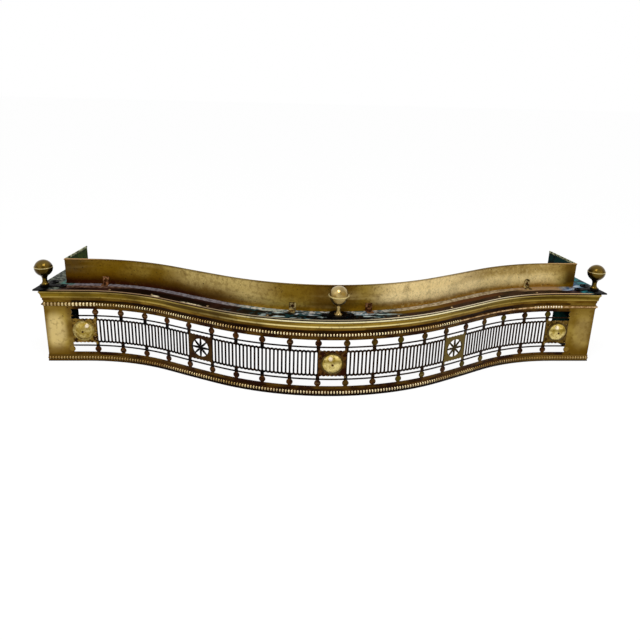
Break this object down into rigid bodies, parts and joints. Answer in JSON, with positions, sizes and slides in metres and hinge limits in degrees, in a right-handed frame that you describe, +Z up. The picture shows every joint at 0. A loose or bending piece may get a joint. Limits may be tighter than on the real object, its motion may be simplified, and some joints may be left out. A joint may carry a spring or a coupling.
{
  "type": "fire fender",
  "caption": "Serpentine hearth fender: a pierced brass gallery with plain returns, an iron top plate on a cornice, ball finials and a brass upstand behind them.",
  "frame": {"origin": "the middle of the bounding box, at the height of the face that stands on the hearth", "axes": "+X along the fender, to the right as seen from the room; +Y from the room towards the fire; +Z up"},
  "size_m": [1.253, 0.3338, 0.2306],
  "materials": {
    "panel_brass": "aged brass, darkened to olive and brown, with worn high spots",
    "moulding_brass": "aged brass, polished on its high spots",
    "upstand_brass": "aged sheet brass, mottled and lightly dented",
    "finial_brass": "spun brass, lightly tarnished",
    "bracket_brass": "dull, slightly pink brass",
    "iron": "dark brown to black wrought iron with verdigris stains",
    "pin_brass": "dark brass"
  },
  "bodies": {
    "root": {"front_panel": "panel_brass", "left_side_panel": "panel_brass", "right_side_panel": "panel_brass", "cornice": "moulding_brass", "left_cornice": "moulding_brass", "right_cornice": "moulding_brass", "upper_bead_strip": "moulding_brass", "left_upper_bead_strip": "moulding_brass", "right_upper_bead_strip": "moulding_brass", "base_moulding": "moulding_brass", "left_base_moulding": "moulding_brass", "right_base_moulding": "moulding_brass", "base_rail": "iron", "left_base_rail": "iron", "right_base_rail": "iron", "top_plate": "iron", "left_finial_pad": "iron", "centre_finial_pad": "iron", "right_finial_pad": "iron", "pad_rivets": "iron", "plate_rivets": "pin_brass", "upstand": "upstand_brass", "left_upstand": "upstand_brass", "right_upstand": "upstand_brass", "angle_brackets": "bracket_brass", "bracket_screws": "pin_brass", "left_finial": "finial_brass", "centre_finial": "finial_brass", "right_finial": "finial_brass", "left_boss": "finial_brass", "centre_boss": "finial_brass", "right_boss": "finial_brass", "boss_pins": "pin_brass"}
  },
  "joints": []
}
